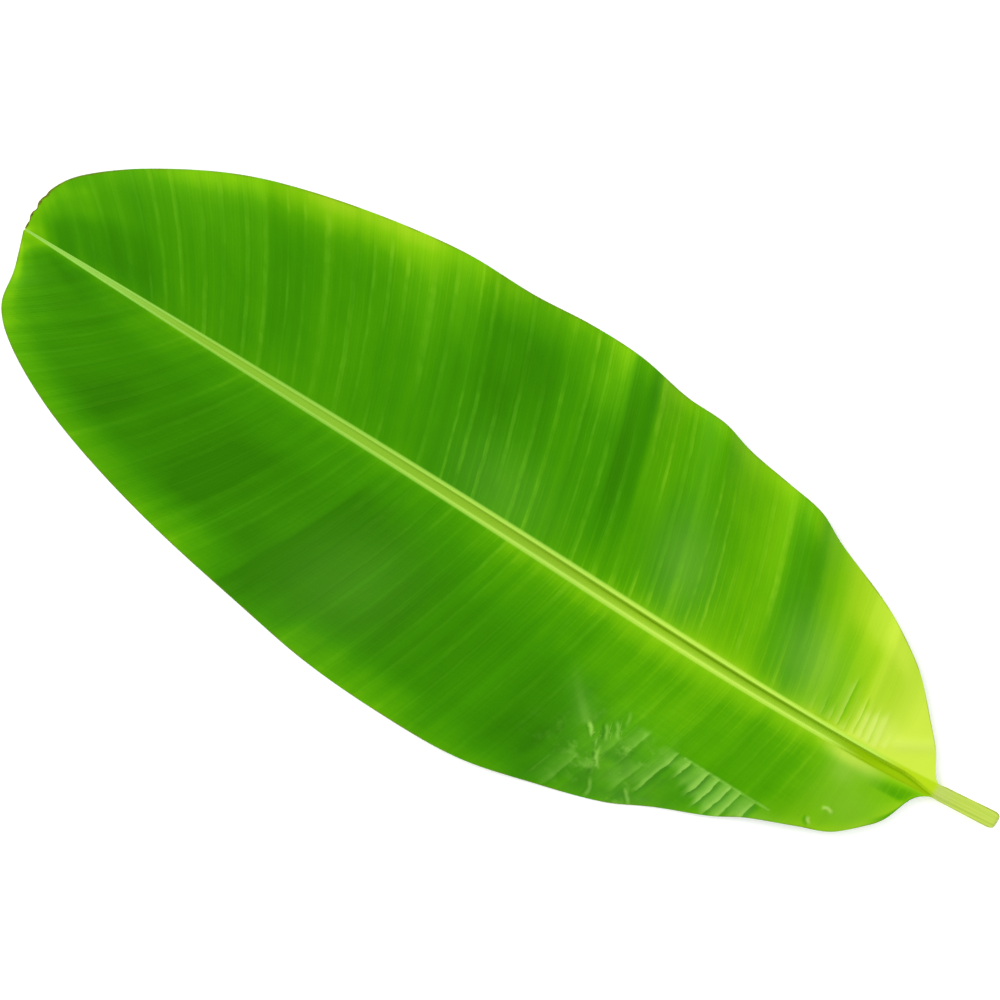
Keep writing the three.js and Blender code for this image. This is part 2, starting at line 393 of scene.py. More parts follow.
left = half_blade(upper_share, 1)
right = half_blade(upper_share, -1)
left_folds(left)
right_folds(right)
left_under = half_blade(under_share, 1)
right_under = half_blade(under_share, -1)
left_folds(left_under)
right_folds(right_under)
for half in (left, right, left_under, right_under):
    half["z"] = np.maximum(half["z"], MARGIN_THICKNESS + 0.05)
for half in (left_under, right_under):
    half["z"] = half["z"] - np.minimum(half["thickness"], 0.4 * joint)

# The channel of the midrib, from its left lip to its right one. It is deepest close under the
# right lip, and it closes to a narrow fold before the stalk.
across = np.array([[
    0.96, 0.9, 0.82, 0.72, 0.6, 0.46, 0.3, 0.14, -0.02, -0.15, -0.27, -0.37, -0.5, -0.64, -0.76,
    -0.86, -0.94,
]])
# Where it is deepest, as a share of the half width, and how far the groove moves to the left
# between these two places near the stalk.
DEEPEST = -0.27
GROOVE_SHIFT = 1.05
SHIFT_START = 34.0
SHIFT_END = -8.0
lip = joint + 0.12 * half_width
left_wall = 0.22 * climb(DEEPEST, 0.1, across) + 0.78 * climb(0.05, 0.74, across)
right_wall = 1 - climb(-0.66, DEEPEST, across)
wall = np.where(across > DEEPEST, left_wall, right_wall)
groove_place = DEEPEST + GROOVE_SHIFT * (1 - climb(SHIFT_END, SHIFT_START, s))
narrow_wall = climb(0, 0.42, np.abs(across - groove_place))
closing = 1 - climb(22, 78, s)
wall = wall * (1 - closing) + narrow_wall * closing
shoulder = climb(0.78, 1.0, np.abs(across))
channel_z = (lip - channel * (1 - wall)) * (1 - shoulder) + joint * shoulder
channel_y = middle + across * half_width

# The keel, from right to left, flat along the strip that it lies on.
turn = np.array([[
    -0.99, -0.95, -0.88, -0.78, -0.66, -0.5, 0, 0.5, 0.66, 0.78, 0.88, 0.95, 0.99,
]])
STRIP_HALF_WIDTH = 1.5
STRIP_TURN = 0.5
flat = np.minimum(STRIP_HALF_WIDTH, half_width * 0.3)
on_strip = np.abs(turn) <= STRIP_TURN
keel_y = middle + np.where(on_strip, 2 * turn * flat, turn * half_width)
root = left_under["z"][:, :1]
roundness = 1 - np.sqrt(np.maximum(1 - np.clip((np.abs(turn) - 0.3) / 0.7, 0, 1) ** 2, 0))
keel_z = np.where(on_strip, 0, roundness) * root


def outward_first(p, name):
    """One array of a half, from the margin in to the midrib."""
    return p[name][:, ::-1]


def ring(name, over_channel, over_keel):
    """A value all round each row: over the leaf from left to right, and back underneath."""
    return np.concatenate(
        [
            outward_first(left, name), over_channel + 0 * s, right[name],
            outward_first(right_under, name), over_keel + 0 * s, left_under[name],
        ],
        axis=1,
    )


ring_x = ring("x", s + 0 * across, s + 0 * turn)
ring_y = ring("y", channel_y, keel_y)
ring_z = ring("z", channel_z, keel_z)
blade_and_stalk_rows, ring_size = ring_x.shape

# The cut face of the stalk: it bulges a little, with a soft rim. The profile's rows are (share of
# the stalk's size, how far past the cut), and one point closes it in the middle.
CAP_PROFILE = ((0.3, 1.4), (0.6, 1.2), (0.82, 0.8), (0.95, 0.3))
CAP_BULGE = 1.5
centre_y = ring_y[0].mean()
centre_z = 0.5 * (ring_z[0].max() + ring_z[0].min())
cut_middle = np.array([[ring_x[0].mean() - CAP_BULGE, centre_y, centre_z]])
cap_x = []
cap_y = []
cap_z = []
for scale, back in CAP_PROFILE:
    cap_x.append(ring_x[0] - back)
    cap_y.append(centre_y + (ring_y[0] - centre_y) * scale)
    cap_z.append(centre_z + (ring_z[0] - centre_z) * scale)
ring_x = np.concatenate([np.array(cap_x), ring_x])
ring_y = np.concatenate([np.array(cap_y), ring_y])
ring_z = np.concatenate([np.array(cap_z), ring_z])


def padded(values):
    """Values for every point: the first row's are repeated over the cut face, and its middle has
    their mean."""
    rows = np.concatenate([np.repeat(values[:1], len(CAP_PROFILE), axis=0), values])
    return np.append(rows.reshape(-1), values[0].mean()).astype(np.float32)


# Place the skin where the part is: both boxes have the same centre, seen from above.
low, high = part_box("banana_leaf")
outline_x = np.concatenate([through(LEFT_VEINS, s, 1), through(RIGHT_VEINS, s, 1), s])
outline_y = np.concatenate([through(LEFT_VEINS, s, 2), -through(RIGHT_VEINS, s, 2)])
shift_x = 500 * (low.x + high.x) - 0.5 * (outline_x.min() + outline_x.max())
shift_y = 500 * (low.y + high.y) - 0.5 * (outline_y.min() + outline_y.max())
points = np.concatenate([np.stack([ring_x, ring_y, ring_z], axis=2).reshape(-1, 3), cut_middle])
places = (points + (shift_x, shift_y, 0)) / 1000

total_rows = blade_and_stalk_rows + len(CAP_PROFILE)
first = np.arange(total_rows - 1)[:, None] * ring_size
column = np.arange(ring_size)[None, :]
beside = (column + 1) % ring_size
corners = [
    first + column, first + beside, first + beside + ring_size, first + column + ring_size,
]
quads = np.stack(corners, axis=2).reshape(-1, 4)
end_cap = list(range((total_rows - 1) * ring_size, total_rows * ring_size))
cut_point = total_rows * ring_size
cut_fan = [(cut_point, (k + 1) % ring_size, k) for k in range(ring_size)]
mesh = bpy.data.meshes.new("banana_leaf_skin")
mesh.from_pydata(places.tolist(), [], quads.tolist() + [end_cap] + cut_fan)
mesh.update()
leaf = bpy.data.objects.new("banana_leaf_skin", mesh)
bpy.context.scene.collection.objects.link(leaf)
mesh.polygons.foreach_set("use_smooth", np.ones(len(mesh.polygons), bool))

# The margins are crisp edges.
pairs = np.zeros(len(mesh.edges) * 2, int)
mesh.edges.foreach_get("vertices", pairs)
pairs = pairs.reshape(-1, 2)
columns = np.where(pairs == cut_point, pairs[:, ::-1], pairs) % ring_size
right_rim = 2 * UPPER_COLUMNS + across.shape[1] - 1
crisp = np.isin(columns[:, 0], [0, right_rim, right_rim + 1, ring_size - 1])
crisp = crisp & (columns[:, 0] == columns[:, 1])
sharp = mesh.attributes.new("sharp_edge", "BOOLEAN", "EDGE")
sharp.data.foreach_set("value", crisp)

# ---- Leaf: where its colours lie ----
# The tissue is deep green where it is full grown, and yellow-green where it is thin or young: at
# the blade's base, along the margins and beside the midrib. One number, the level, runs from deep
# green at 0 to lime at 1. It also holds painted light and shade: lighter on the flanks of waves and
# folds that face the tip, where the lamp is, and darker on those that face the base. The wax on the
# blade makes some stretches greyish, and painted sheen makes others paler where folds catch the
# light; one share holds both.

# Patches of deeper or lighter green, partly the tissue's own tone and partly painted light and
# shade
# on the waves: (from and to along the midrib, softness, from and to as shares of the way out,
# softness, how much lighter).
RIGHT_PATCHES = [
    (180, 244, 12, -0.1, 1.1, 0.1, 0.10),
    (182, 210, 8, 0.55, 1.1, 0.2, 0.05),
    (150, 178, 8, 0.35, 0.85, 0.15, -0.12),
    (222, 250, 8, 0.2, 0.7, 0.2, -0.06),
    (256, 276, 3, 0.3, 0.8, 0.15, -0.06),
    (274, 296, 5, 0.1, 0.6, 0.12, -0.10),
    (296, 328, 8, 0.45, 1.1, 0.15, 0.09),
    (328, 355, 3, 0.25, 1.1, 0.2, -0.10),
    (340, 390, 10, 0.15, 0.7, 0.12, -0.08),
    (357, 392, 3, 0.7, 1.1, 0.12, 0.10),
    (392, 500, 12, 0.84, 1.1, 0.08, 0.13),
    (415, 478, 14, 0.35, 0.84, 0.12, -0.08),
    (445, 512, 14, -0.1, 0.62, 0.12, -0.08),
    (500, 560, 16, 0.6, 1.1, 0.15, 0.11),
    (530, 740, 30, 0.88, 1.1, 0.1, 0.17),
    (500, 640, 30, 0.8, 1.1, 0.1, 0.12),
    (560, 760, 30, 0.7, 1.1, 0.14, 0.05),
    (632, 664, 10, 0.2, 0.75, 0.12, -0.06),
    (768, 838, 20, 0.1, 0.55, 0.12, -0.11),
    (815, 840, 6, 0.9, 1.1, 0.06, -0.09),
    (866, 905, 8, 0.5, 1.1, 0.15, 0.1),
    (802, 872, 12, 0.6, 0.92, 0.1, 0.07),
    (876, 905, 10, -0.1, 0.5, 0.2, 0.21),
    (425, 450, 6, 0.6, 1.1, 0.15, -0.08),
    (848, 866, 5, -0.1, 0.5, 0.15, -0.10),
    (336, 372, 6, 0.86, 1.1, 0.08, 0.08),
    (-5, 24, 6, -0.1, 1.1, 0.1, 0.03),
    (60, 94, 8, 0.78, 1.1, 0.1, 0.08),
    (88, 120, 6, -0.1, 0.7, 0.1, -0.09),
    (156, 174, 5, 0.86, 1.1, 0.08, 0.08),
]
LEFT_PATCHES = [
    (330, 860, 20, 0.24, 0.84, 0.1, -0.09),
    (560, 720, 20, 0.3, 0.85, 0.12, -0.05),
    (496, 530, 5, 0.14, 1.1, 0.06, -0.05),
    (460, 500, 16, 0.16, 0.9, 0.06, -0.04),
    (425, 448, 6, 0.35, 0.7, 0.12, -0.08),
    (255, 330, 10, 0.35, 0.85, 0.12, -0.16),
    (150, 276, 10, 0.68, 1.1, 0.1, -0.10),
    (-20, 30, 8, 0.86, 1.1, 0.06, -0.27),
    (845, 905, 10, 0.9, 1.1, 0.06, 0.09),
    (238, 268, 6, 0.86, 1.1, 0.08, -0.12),
    (545, 618, 8, 0.82, 1.1, 0.1, 0.13),
    (335, 420, 10, 0.1, 0.34, 0.08, 0.08),
    (190, 300, 16, 0.1, 0.45, 0.12, 0.09),
    (594, 626, 6, 0.35, 0.74, 0.12, -0.11),
    (690, 720, 8, 0.55, 0.85, 0.12, -0.09),
    (610, 880, 24, 0.86, 1.1, 0.08, 0.1),
    (770, 880, 16, 0.66, 1.1, 0.12, 0.10),
    (364, 476, 10, 0.84, 1.1, 0.08, 0.13),
    (60, 420, 30, -0.1, 0.1, 0.09, 0.16),
    (724, 780, 12, -0.1, 0.32, 0.12, 0.08),
    (812, 864, 10, 0.06, 0.34, 0.1, -0.11),
    (-20, 100, 28, -0.1, 1.1, 0.1, 0.2),
    (2, 34, 8, 0.5, 0.82, 0.1, 0.05),
    (90, 150, 14, 0.3, 0.72, 0.1, -0.05),
    (270, 310, 8, 0.62, 0.9, 0.08, -0.09),
    (400, 470, 14, -0.1, 0.14, 0.08, 0.06),
    (210, 440, 20, -0.1, 0.08, 0.06, 0.06),
    (506, 560, 8, 0.62, 1.1, 0.08, -0.07),
    (594, 618, 4, 0.66, 0.96, 0.08, -0.06),
    (874, 905, 8, -0.1, 1.1, 0.1, 0.17),
]


def fold_shade(at, edge, length):
    """1 just on the base's side of a fold and 0 past it, fading over a length towards the base."""
    return (1 - climb(edge - 1.2, edge + 1.2, at)) * np.exp(-np.maximum(edge - at, 0) / length)


def colour_zones(p, side):
    """Level with its painted light and shade, wax with painted sheen, and brown of one half of the
    blade.
    """
    v = p["v"]
    x = p["x"]
    out = p["out"]
    at = p["s"]
    inward = (1 - v) * p["length"]
    beside = v * p["length"]
    if side < 0:
        level = 0.25 + 0.12 * (1 - climb(240, 420, at))
        level = level + 0.5 * (1 - climb(82, 165, at + 12 - 26 * v))
        level = level + 0.14 * (1 - climb(30, 70, at))
        level = level + (0.06 + 0.2 * (1 - climb(220, 480, at))) * np.exp(-beside / 11)
        level = level + 0.14 * np.exp(-((inward / 14) ** 2)) * climb(150, 200, at)
        level = level - 0.07 * fold_shade(at, 355, 20) * climb(0.2, 0.4, v)
        level = level + 0.05 * np.exp(-((inward / 12) ** 2)) * climb(730, 860, at)
        patches = RIGHT_PATCHES
        # Greyish wax, and painted sheen on the right half's base and along its slanting fold where
        # they catch the light.
        wax_and_sheen = 0.75 * hump(at, 140, 26) * hump(v, 0.28, 0.24)
        wax_and_sheen = wax_and_sheen + 1.6 * hump(x, 65, 15) * hump(out, 19, 12)
        wax_and_sheen = wax_and_sheen + 1.2 * hump(p["slant"], 0, 7) * p["slanting"]
        wax_and_sheen = wax_and_sheen + 0.6 * hump(at, 268, 26) * hump(v, 0.3, 0.22)
        wax_and_sheen = wax_and_sheen + 0.3 * hump(at, 440, 45) * hump(v, 0.1, 0.2)
        brown = 0.45 * climb(845, 872, at) + 0.3 * climb(772, 800, at) + 0.25 * climb(690, 760, at)
    else:
        level = 0.2 + 0.18 * (1 - climb(150, 430, at)) + 0.03 * climb(560, 900, at)
        level = level + 0.1 * np.exp(-((inward / 9) ** 2))
        level = level + (0.12 + 0.08 * climb(420, 560, at)) * np.exp(-beside / 8)
        # Painted shade in the valley of the fold beside the stalk, which makes it deep green.
        inner_line = 8.5 + 0.2 * (x - 16)
        outer_line = 22.5 + 0.07 * (x - 12)
        wedge = climb(inner_line - 2, inner_line + 6, out)
        wedge = wedge * (1 - climb(outer_line - 2, outer_line + 2, out))
        level = level - 0.18 * wedge * (1 - climb(30, 56, x))
        level = level - 0.13 * fold_shade(at, 534, 26) * climb(0.1, 0.24, v)
        patches = LEFT_PATCHES
        # Painted sheen beside the midrib's base, on the crumpled part and along the soft swelling,
        # with some greyish wax.
        wax_and_sheen = 1.1 * window(x, 48, 94, 14) * hump(out, 14, 8)
        wax_and_sheen = wax_and_sheen + 0.6 * hump(x, 74, 12) * hump(out, 28, 9)
        wax_and_sheen = wax_and_sheen + 0.35 * hump(x, 55, 30) * hump(out, 50, 22) + 0.3 * p["crumple"]
        wax_and_sheen = wax_and_sheen + 0.42 * hump(p["slant"], 0, 9) * p["slanting"]
        wax_and_sheen = wax_and_sheen + 0.25 * hump(at, 480, 45) * hump(v, 0.6, 0.3)
        brown = 0.35 * climb(840, 890, at)
    for start, end, soft, inner, outer, edge_soft, amount in patches:
        level = level + amount * window(at, start, end, soft) * window(v, inner, outer, edge_soft)
    return level, wax_and_sheen, brown


for half, side in ((left, 1), (right, -1), (left_under, 1), (right_under, -1)):
    half["level"], half["wax_and_sheen"], half["brown"] = colour_zones(half, side)
    half["across"] = side * (1 + half["v"] * half["length"] / half["half"])
    half["inward"] = (1 - half["v"]) * half["length"]

right_share = 1 - climb(-0.5, -0.2, across)
channel_level = left["level"][:, :1] * (1 - right_share) + right["level"][:, :1] * right_share
INSIDE_THE_MARGIN = 200
ring_values = {
    "station": ring("s", s + 0 * across, s + 0 * turn),
    "across": ring("across", across + 0 * s, turn + 0 * s),
    "outward": np.concatenate(
        [
            outward_first(left, "out"), np.abs(channel_y - middle), right["out"],
            outward_first(right_under, "out"), np.abs(keel_y - middle), left_under["out"],
        ],
        axis=1,
    ),
    "inward": ring("inward", INSIDE_THE_MARGIN + 0 * across, INSIDE_THE_MARGIN + 0 * turn),
    "level": ring("level", channel_level, left["level"][:, :1] + 0 * turn),
    "wax_and_sheen": ring("wax_and_sheen", 0 * s + 0 * across, 0 * s + 0 * turn),
    "brown": ring("brown", 0 * s + 0 * across, 0 * s + 0 * turn),
    "pleat_turns": ring("pleat_turns", 0.5 + 0 * across, 0.5 + 0 * turn),
}
for name in ("pleats", "pleat_edge", "slanting", "crease_light", "crease_dark", "crumple"):
    ring_values[name] = ring(name, 0 * across, 0 * turn)
for name in ("slant", "ridge", "crease"):
    ring_values[name] = ring(name, FAR_OFF + 0 * across, FAR_OFF + 0 * turn)
is_under = np.zeros((1, ring_size))
is_under[0, right_rim + 1:] = 1
ring_values["under"] = is_under + 0 * s
for name, values in ring_values.items():
    attribute = mesh.attributes.new(name, "FLOAT", "POINT")
    attribute.data.foreach_set("value", padded(values))
cut = np.zeros(len(places), np.float32)
cut[:len(CAP_PROFILE) * ring_size] = 1
cut[cut_point] = 1
attribute = mesh.attributes.new("cut", "FLOAT", "POINT")
attribute.data.foreach_set("value", cut)

# ---- Leaf: its material ----
# Waxy green tissue with pale parallel veins: main ones, second ones between them, and hair-fine
# ones in between. The underside is paler and duller, and its veins stand up.
MAIN_VEIN_PERIOD = 17.5
SECOND_VEIN_PERIOD = 7.3
FINE_VEIN_PERIOD = 2.6
LIGHT_LEVEL = 1.3  # how much brighter the leaf is lit than a picture of it can show
material = bpy.data.materials.new("banana_leaf")
material.use_nodes = True
tree = material.node_tree
tree.nodes.clear()


def socket(node, slot, value):
    """Links a socket's value into a node, or writes a plain one."""
    if isinstance(value, bpy.types.NodeSocket):
        tree.links.new(value, node.inputs[slot])
    else:
        node.inputs[slot].default_value = value


def calc(operation, a, b=0.0, c=0.0):
    """One step of arithmetic on sockets or plain numbers."""
    node = tree.nodes.new("ShaderNodeMath")
    node.operation = operation
    for slot, value in enumerate((a, b, c)):
        socket(node, slot, value)
    return node.outputs[0]


def smooth(value, low_end, high_end):
    """From 0 at low_end to 1 at high_end, smoothly."""
    node = tree.nodes.new("ShaderNodeMapRange")
    node.interpolation_type = "SMOOTHSTEP"
    socket(node, 0, value)
    if low_end <= high_end:
        socket(node, 1, low_end)
        socket(node, 2, high_end)
        return node.outputs[0]
    socket(node, 1, high_end)
    socket(node, 2, low_end)
    return calc("SUBTRACT", 1.0, node.outputs[0])


def linear(red, green, blue):
    """The share of light sent back by a surface that looks like this on a screen, 0 to 255."""
    parts = []
    for part in (red, green, blue):
        share = part / 255
        light = share / 12.92 if share <= 0.04045 else ((share + 0.055) / 1.055) ** 2.4
        parts.append(light / LIGHT_LEVEL)
    return (*parts, 1.0)


def mixed(share, a, b):
    """Colour a at share 0 and colour b at share 1."""
    node = tree.nodes.new("ShaderNodeMix")
    node.data_type = "RGBA"
    socket(node, 0, share)
    socket(node, 6, a)
    socket(node, 7, b)
    return node.outputs[2]


def scaled(value, factor):
    return calc("MULTIPLY", value, factor)


def total(*values):
    result = values[0]
    for value in values[1:]:
        result = calc("ADD", result, value)
    return result


def product(*values):
    result = values[0]
    for value in values[1:]:
        result = calc("MULTIPLY", result, value)
    return result


def read(name):
    """One of the mesh's own attributes."""
    node = tree.nodes.new("ShaderNodeAttribute")
    node.attribute_name = name
    return node.outputs["Fac"]


def vector(x, y, z):
    node = tree.nodes.new("ShaderNodeCombineXYZ")
    for slot, value in enumerate((x, y, z)):
        socket(node, slot, value)
    return node.outputs[0]


def noise(place, scale, detail=2.0, roughness=0.5):
    """Noise from 0 to 1 at a place, with features about 1 / scale across."""
    node = tree.nodes.new("ShaderNodeTexNoise")
    node.noise_dimensions = "3D"
    tree.links.new(place, node.inputs["Vector"])
    node.inputs["Scale"].default_value = scale
    node.inputs["Detail"].default_value = detail
    node.inputs["Roughness"].default_value = roughness
    return node.outputs["Fac"]


def lines(at, period, width, seed):
    """Thin lines across the direction of `at`, about one period apart, from 0 to 1."""
    wander = noise(vector(scaled(at, 1 / period), seed, 0.0), 0.37, 1.0)
    turns = total(scaled(at, 1 / period), scaled(wander, 1.6))
    wave = calc("COSINE", scaled(turns, 2 * math.pi))
    return smooth(wave, math.cos(math.pi * width), 1.0)


object_place = tree.nodes.new("ShaderNodeTexCoord").outputs["Object"]
station = read("station")
across_rib = read("across")
outward = read("outward")
inward = read("inward")
level = read("level")
wax_and_sheen = read("wax_and_sheen")
under_side = read("under")
side_sign = calc("SIGN", across_rib)
distance_across = calc("ABSOLUTE", across_rib)
signed_out = product(outward, side_sign)
flow = vector(station, scaled(signed_out, 0.02), under_side)

wobble = noise(vector(scaled(station, 0.03), scaled(signed_out, 0.05), 4.0), 1.0, 2.0)
wavy_station = total(station, scaled(wobble, 2.2))
on_rib = smooth(distance_across, 1.3, 0.86)
uneven = noise(object_place, 110.0, 2.0)
bent = noise(object_place, 42.0, 1.0)
pleat_turns = total(read("pleat_turns"), scaled(uneven, 0.2), scaled(bent, 0.3), -0.25)
pleat_part = calc("FRACT", pleat_turns)
# Painted sheen on the pleats' faces and rims and painted shade along their edges; painted light
# along the straight fold, the soft swelling and the crumpled part; painted light and shade on the
# two sides of each crease.
pleat_face = product(read("pleats"), smooth(pleat_part, 1.25, 0.1), total(0.5, uneven))
pleat_rim = product(read("pleat_edge"), smooth(pleat_part, 0.4, 0.06))
pleat_line = product(read("pleat_edge"), smooth(pleat_part, 0.4, 0.97), smooth(bent, 0.2, 0.5))
ridge_light = smooth(total(read("ridge"), scaled(uneven, 1.2)), 2.4, 0.7)
crease = total(read("crease"), scaled(uneven, 3.0), -1.5)
crease_pale = product(read("crease_light"), smooth(calc("ABSOLUTE", total(crease, -1.0)), 2.9, 0.0))
crease_shade = product(read("crease_dark"), smooth(calc("ABSOLUTE", total(crease, 1.5)), 2.9, 0.0))
slant_light = product(read("slanting"), smooth(calc("ABSOLUTE", read("slant")), 6.0, 0.5))
crumple = read("crumple")
crumple_light = product(crumple, smooth(noise(object_place, 58.0, 3.0, 0.6), 0.5, 0.72))
facets = tree.nodes.new("ShaderNodeTexVoronoi")
facets.feature = "F1"
facets.inputs["Scale"].default_value = 75.0
tree.links.new(object_place, facets.inputs["Vector"])
facet_height = facets.outputs["Distance"]
main_line = lines(total(wavy_station, scaled(side_sign, 5.0)), MAIN_VEIN_PERIOD, 0.3, 3.0)
second_line = lines(total(wavy_station, scaled(side_sign, 2.0)), SECOND_VEIN_PERIOD, 0.3, 8.0)
fine_line = lines(station, FINE_VEIN_PERIOD, 0.4, 15.0)
patchy = noise(vector(scaled(station, 0.035), scaled(signed_out, 0.011), 2.0), 1.0, 2.0)
in_green = smooth(level, 0.66, 0.42)
left_streaks = product(
    total(
        product(smooth(station, 540.0, 500.0), smooth(station, 260.0, 320.0)),
        product(smooth(station, 880.0, 840.0), smooth(station, 640.0, 720.0)),
    ),
    smooth(outward, 66.0, 14.0),
)
broken = noise(vector(scaled(station, 0.12), scaled(signed_out, 0.09), 6.0), 1.0, 2.0)
dashes = smooth(broken, 0.3, 0.65)
vein_share = total(0.64, scaled(side_sign, -0.36), scaled(left_streaks, 0.4))
vein_strength = product(
    smooth(patchy, 0.34, 0.66), in_green, vein_share, smooth(station, 890.0, 690.0),
    total(0.55, scaled(dashes, 0.75)),
)
cross_ripple = lines(total(outward, scaled(wobble, 6.0)), 5.6, 0.5, 21.0)
stripe = noise(flow, 0.07, 1.5, 0.5)
broad = noise(vector(scaled(station, 0.02), scaled(signed_out, 0.012), 9.0), 1.0, 2.0)
mottle = noise(vector(scaled(station, 0.05), scaled(signed_out, 0.03), 12.0), 1.0, 3.0, 0.6)
cells = noise(object_place, 650.0, 3.0, 0.6)

second_strength = total(
    scaled(vein_strength, 0.03),
    product(smooth(station, 560.0, 300.0), smooth(outward, 90.0, 20.0), in_green, 0.035),
)
# The level also takes painted shade: dark pleat edges, the dark sides of creases and the light and
# dark facets of the crumpled part.
blade_level = total(
    level,
    product(calc("SUBTRACT", stripe, 0.5), smooth(station, 40.0, 130.0), 0.22),
    scaled(calc("SUBTRACT", broad, 0.5), 0.12),
    product(calc("SUBTRACT", mottle, 0.5), in_green, 0.12),
    product(second_line, second_strength),
    scaled(fine_line, 0.01),
    product(main_line, vein_strength, 0.075),
    product(cross_ripple, smooth(side_sign, 0.0, 1.0), in_green, wobble, 0.02),
    scaled(pleat_line, -0.2),
    scaled(crease_shade, -0.3),
    product(crumple, calc("SUBTRACT", noise(object_place, 38.0, 2.0), 0.5), 0.7),
    scaled(calc("SUBTRACT", cells, 0.5), 0.03),
)
ramp = tree.nodes.new("ShaderNodeValToRGB")
socket(ramp, 0, blade_level)
stops = ramp.color_ramp.elements
stops[0].position = 0.0
stops[0].color = linear(35, 115, 0)
stops[1].position = 1.0
stops[1].color = linear(211, 239, 73)
MIDDLE_GREENS = (
    (0.22, (52, 139, 0)),
    (0.42, (78, 162, 0)),
    (0.62, (121, 192, 6)),
    (0.8, (166, 214, 30)),
)
for place, shade in MIDDLE_GREENS:
    stop = stops.new(place)
    stop.color = linear(*shade)
wax_and_sheen_colour = mixed(smooth(level, 0.4, 0.85), linear(128, 182, 74), linear(216, 240, 100))
blade_colour = mixed(scaled(wax_and_sheen, 0.42), ramp.outputs[0], wax_and_sheen_colour)
pale_vein = mixed(smooth(level, 0.3, 0.9), linear(110, 182, 44), linear(206, 234, 90))
line_strength = product(main_line, vein_strength, 0.12)
blade_colour = mixed(line_strength, blade_colour, pale_vein)
sheen = mixed(smooth(level, 0.4, 0.9), linear(152, 212, 84), linear(220, 242, 116))
sheen_share = total(
    scaled(pleat_face, 0.6), scaled(crease_pale, 0.7), scaled(slant_light, 0.14),
    scaled(pleat_rim, 0.36), scaled(ridge_light, 0.42), scaled(crumple_light, 0.5),
)
blade_colour = mixed(sheen_share, blade_colour, sheen)

# The midrib: pale lips, an olive channel with a dark line of painted shade in the deep cleft close
# under its right lip, all fading towards the tip into one light ribbon. Before the stalk the
# channel closes to a narrow fold, with the same painted shade along it.
towards_base = smooth(station, 640.0, 380.0)
lip_bright = mixed(smooth(station, 400.0, 240.0), linear(186, 234, 90), linear(204, 246, 92))
lip_far = mixed(smooth(station, 700.0, 840.0), linear(156, 214, 80), linear(164, 224, 98))
lip_colour = mixed(towards_base, lip_far, lip_bright)
channel_deep = mixed(smooth(across_rib, -0.15, 0.5), linear(148, 198, 32), linear(176, 224, 58))
channel_mid = mixed(smooth(across_rib, -0.1, 0.6), linear(142, 188, 42), linear(152, 200, 54))
channel_bright = mixed(smooth(station, 400.0, 260.0), channel_mid, channel_deep)
channel_far = mixed(smooth(station, 720.0, 860.0), linear(138, 192, 54), linear(158, 216, 92))
channel_colour = mixed(towards_base, channel_far, channel_bright)
left_lip = smooth(across_rib, 0.42, 0.72)
right_lip = smooth(across_rib, -0.5, -0.66)
lip_share = calc("MAXIMUM", left_lip, right_lip)
rib_colour = mixed(lip_share, channel_colour, lip_colour)
# The dark line is painted shade in the channel's deepest part; before the stalk it moves left with
# the fold.
across_groove = total(across_rib, scaled(smooth(station, SHIFT_START, SHIFT_END), -GROOVE_SHIFT))
groove = product(
    smooth(across_groove, -0.46, -0.34), smooth(across_groove, -0.1, -0.24),
    smooth(station, 470.0, 250.0), smooth(station, -40.0, 230.0),
)
groove_patchy = smooth(noise(vector(scaled(station, 0.03), 0.0, 4.0), 1.0, 3.0), 0.3, 0.62)
groove = product(groove, total(0.7, scaled(groove_patchy, 0.4)), smooth(station, 4.0, 50.0))
rib_colour = mixed(groove, rib_colour, linear(114, 154, 4))
grain = noise(vector(scaled(station, 0.03), scaled(across_rib, 3.0), 7.0), 1.0, 4.0, 0.6)
rib_colour = mixed(scaled(grain, 0.25), rib_colour, linear(150, 200, 40))

# The stalk is pale yellow-green, with lengthwise streaks.
on_stalk = smooth(station, 3.0, -4.0)
streaks = noise(vector(scaled(station, 0.012), scaled(signed_out, 0.75), 5.0), 1.0, 3.0, 0.6)
stalk_colour = mixed(smooth(streaks, 0.3, 0.7), linear(184, 208, 76), linear(204, 226, 98))
near_notch = smooth(station, -26.0, -6.0)
stalk_colour = mixed(scaled(near_notch, 0.6), stalk_colour, linear(192, 210, 112))
dried_corner = product(smooth(station, -52.0, -57.0), smooth(signed_out, -8.0, -11.0), 0.6)
stalk_colour = mixed(dried_corner, stalk_colour, linear(116, 112, 70))

right_lip_shows = product(smooth(across_rib, -0.2, -0.5), smooth(station, 28.0, 66.0))
rib_shows = product(on_rib, calc("MAXIMUM", smooth(station, 62.0, 112.0), right_lip_shows))
olive = mixed(smooth(across_groove, -0.36, -0.2), linear(186, 222, 26), linear(150, 194, 4))
closed_fold = mixed(scaled(groove, 0.7), olive, linear(118, 152, 0))
base_colour = mixed(product(on_rib, smooth(station, 118.0, 84.0)), blade_colour, closed_fold)
upper_colour = mixed(rib_shows, base_colour, rib_colour)
upper_colour = mixed(on_stalk, upper_colour, stalk_colour)

# Dried brown tissue at the ragged edge by the tip.
dry = noise(vector(scaled(inward, 0.2), scaled(outward, 0.35), 1.0), 1.0, 3.0, 0.7)
brown = read("brown")
brown_edge = product(brown, smooth(total(inward, product(dry, brown, -4.6)), 0.6, -1.3))
brown_colour = mixed(smooth(dry, 0.4, 0.65), linear(118, 92, 30), linear(66, 44, 20))
upper_colour = mixed(brown_edge, upper_colour, brown_colour)
margin_line = product(smooth(inward, 1.9, 0.2), smooth(noise(flow, 0.05), 0.35, 0.6), 0.6)
upper_colour = mixed(margin_line, upper_colour, linear(112, 122, 28))

